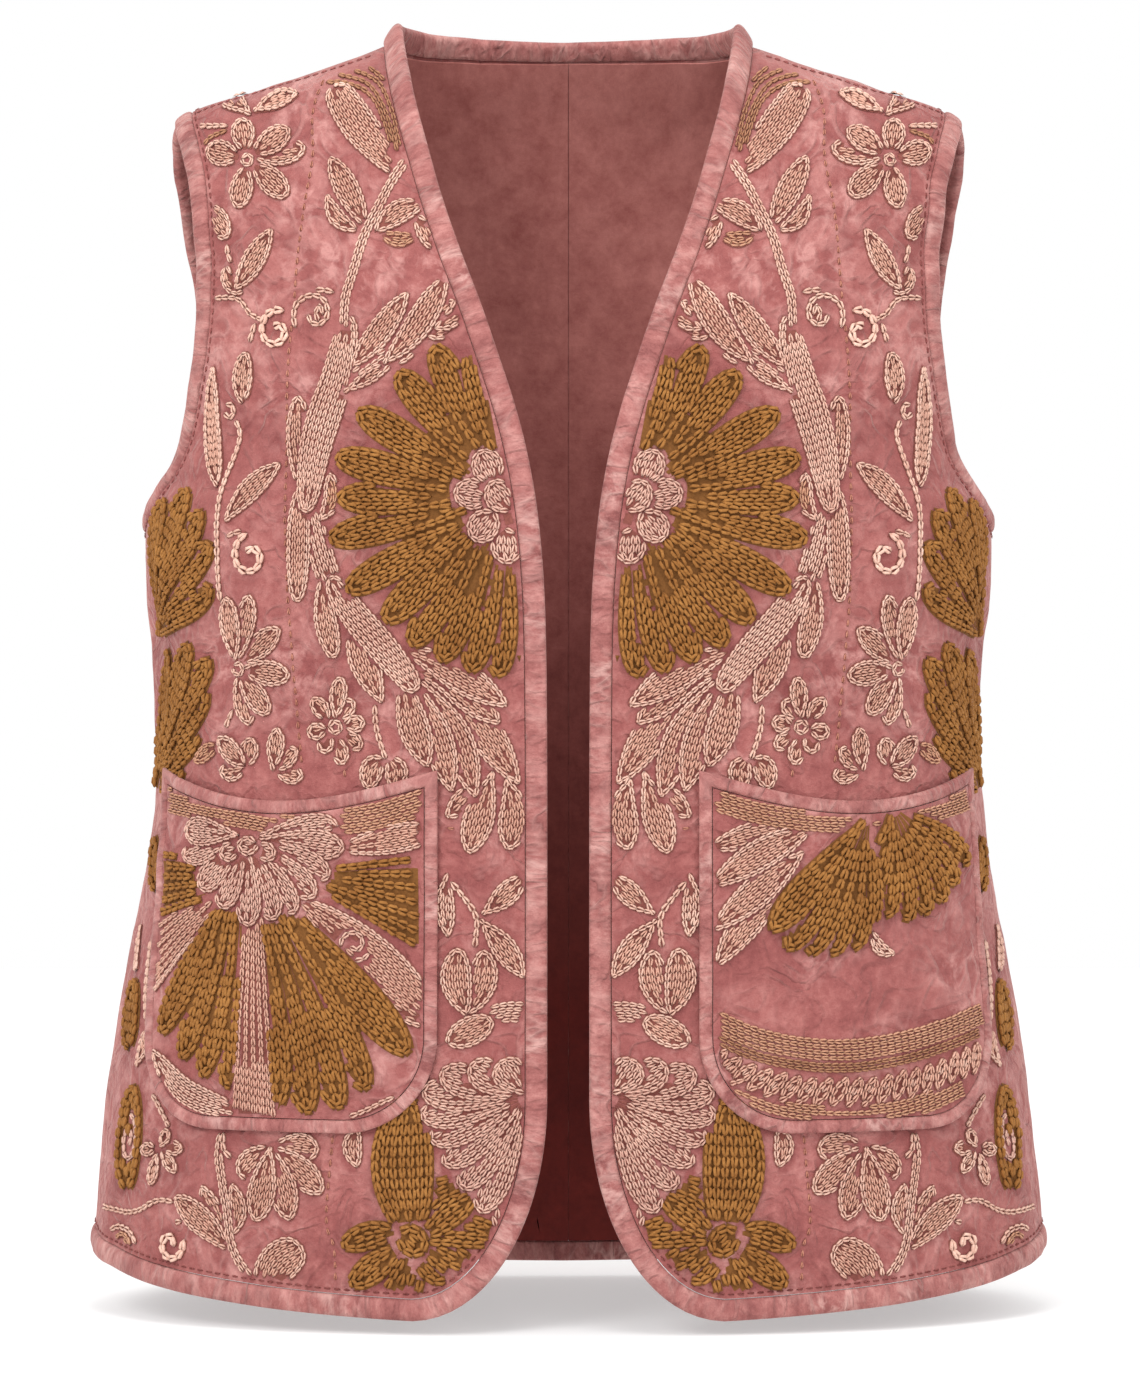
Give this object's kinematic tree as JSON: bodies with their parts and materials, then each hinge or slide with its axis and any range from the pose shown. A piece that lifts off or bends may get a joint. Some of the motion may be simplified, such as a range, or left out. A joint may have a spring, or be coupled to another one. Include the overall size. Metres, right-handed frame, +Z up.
{
  "type": "waistcoat",
  "caption": "Sleeveless open-fronted waistcoat in velvet, worn form with no wearer, edges bound all round, patch pockets on the fronts.",
  "frame": {"origin": "midway between the two neck points at the tops of the shoulder seams, where the wearer's shoulders hold the garment", "axes": "+Z up, -Y is the way the wearer faces, +X towards the wearer's left side (the viewer's right)"},
  "size_m": [0.4554, 0.2531, 0.6073],
  "materials": {
    "velvet": "crushed velvet with a soft sheen",
    "binding_velvet": "velvet strip, folded over the edge",
    "lining": "dull plain weave"
  },
  "bodies": {
    "root": {"front_left": "velvet", "front_right": "velvet", "back": "velvet", "lining_back_left": "lining", "lining_back_right": "lining", "binding_front_left": "binding_velvet", "binding_front_right": "binding_velvet", "binding_neck_back": "binding_velvet", "binding_hem_back": "binding_velvet", "binding_armhole_left": "binding_velvet", "binding_armhole_right": "binding_velvet", "pocket_left": "velvet", "pocket_right": "velvet", "binding_pocket_left": "binding_velvet", "binding_pocket_right": "binding_velvet"}
  },
  "joints": []
}
